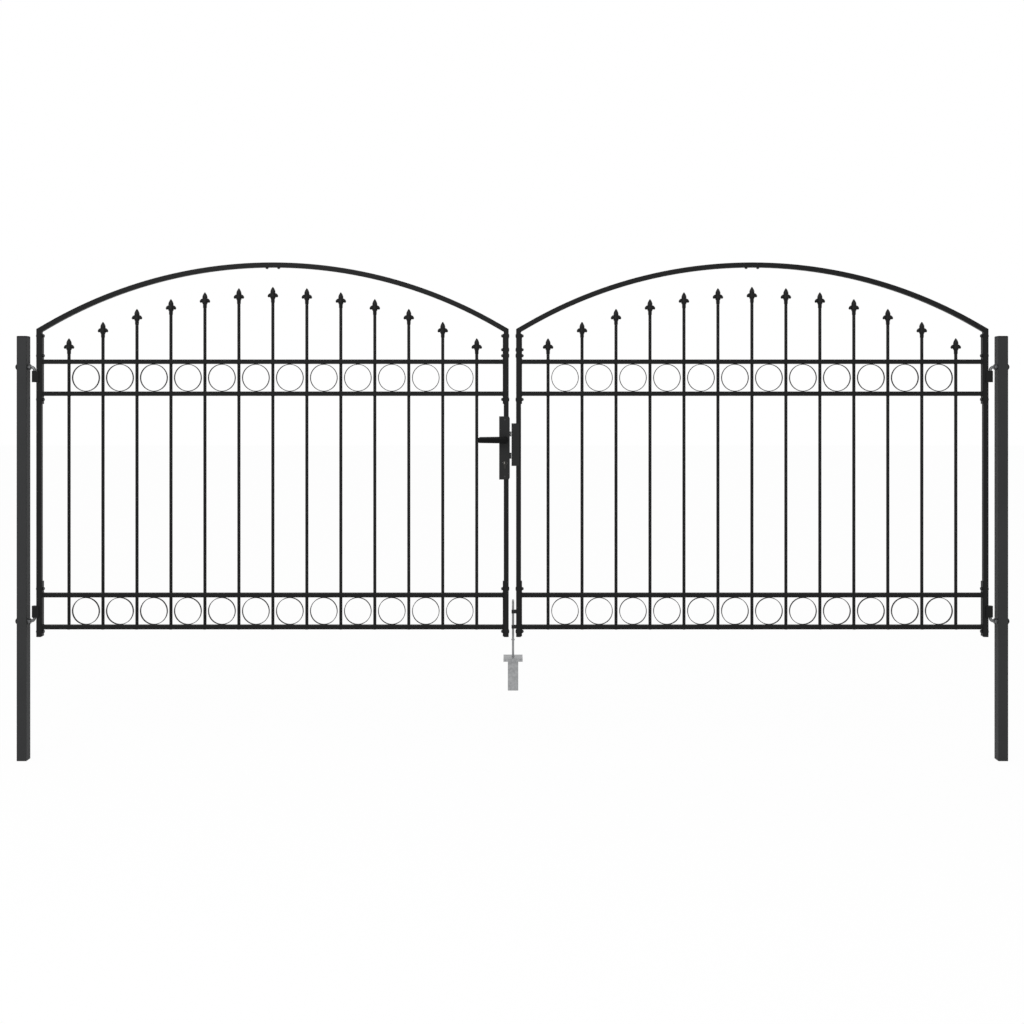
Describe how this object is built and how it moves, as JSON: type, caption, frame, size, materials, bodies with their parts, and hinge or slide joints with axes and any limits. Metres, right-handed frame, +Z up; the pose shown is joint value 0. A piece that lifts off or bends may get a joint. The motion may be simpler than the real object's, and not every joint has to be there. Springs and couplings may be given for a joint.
{
  "type": "double-leaf steel fence gate",
  "caption": "Double-leaf steel fence gate with arched tops, spear-topped pickets and ring bands, hung on posts by hook pins, closed by a lever lock and a drop bolt.",
  "frame": {"origin": "centre of the left post's foot face", "axes": "+X along the gate from the left post to the right post as the picture shows it, +Y to the back, the way the leaves open, +Z up"},
  "size_m": [4.024, 0.1156, 2.013],
  "materials": {
    "black_coat": "satin black powder coat",
    "black_plastic": "moulded matt black",
    "zinc": "galvanised",
    "nickel": "dark satin nickel"
  },
  "bodies": {
    "posts": {"left_post": "black_coat", "right_post": "black_coat", "post_caps": "black_plastic", "left_hinge_pins": "zinc", "right_hinge_pins": "zinc", "hinge_nuts": "zinc", "pin_caps": "black_plastic", "ground_socket": "zinc"},
    "left_leaf": {"left_hinge_stile": "black_coat", "left_lock_stile": "black_coat", "left_arch_hinge_half": "black_coat", "left_arch_lock_half": "black_coat", "left_upper_rails": "black_coat", "left_lower_rails": "black_coat", "left_pickets": "black_coat", "left_spear_points": "black_coat", "left_upper_rings": "black_coat", "left_lower_rings": "black_coat", "left_end_plates": "black_coat", "left_hinge_eyes": "black_coat", "left_stile_plugs": "black_plastic", "lock_case": "black_coat", "lock_front_plate": "black_coat", "lock_back_plate": "black_coat", "lock_cylinder": "nickel"},
    "lever": {"lock_lever": "black_plastic"},
    "latch": {"latch_bolt": "zinc"},
    "key_bolt": {"dead_bolt": "black_coat"},
    "right_leaf": {"right_hinge_stile": "black_coat", "right_keep_stile": "black_coat", "right_arch_hinge_half": "black_coat", "right_arch_keep_half": "black_coat", "right_upper_rails": "black_coat", "right_lower_rails": "black_coat", "right_pickets": "black_coat", "right_spear_points": "black_coat", "right_upper_rings": "black_coat", "right_lower_rings": "black_coat", "right_end_plates": "black_coat", "right_hinge_eyes": "black_coat", "right_stile_plugs": "black_plastic", "lock_keep": "black_coat", "drop_bolt_guides": "black_coat"},
    "ground_bolt": {"drop_bolt": "zinc"}
  },
  "joints": [
    {"name": "left_leaf_swing", "type": "hinge", "parent": "posts", "child": "left_leaf", "pos_m": [0.0445, 0, 1.1], "axis": [0, 0, 1], "range_deg": [0, 90]},
    {"name": "right_leaf_swing", "type": "hinge", "parent": "posts", "child": "right_leaf", "pos_m": [3.9155, 0, 1.1], "axis": [0, 0, -1], "range_deg": [0, 90]},
    {"name": "lever_turn", "type": "hinge", "parent": "left_leaf", "child": "lever", "pos_m": [1.9493, 0, 1.2945], "axis": [0, -1, 0], "range_deg": [0, 40], "stiffness_Nm_per_rad": 1.5, "springref_deg": -22.92},
    {"name": "latch_slide", "type": "slide", "parent": "left_leaf", "child": "latch", "axis": [-1, 0, 0], "range_m": [0, 0.0065]},
    {"name": "key_bolt_throw", "type": "slide", "parent": "left_leaf", "child": "key_bolt", "axis": [1, 0, 0], "range_m": [-0.007, 0.012]},
    {"name": "ground_bolt_slide", "type": "slide", "parent": "right_leaf", "child": "ground_bolt", "axis": [0, 0, 1], "range_m": [-0.02, 0.042]}
  ],
  "couplings": [
    {"joint": "latch_slide", "follows": "lever_turn", "m_per_rad": 0.0093}
  ]
}
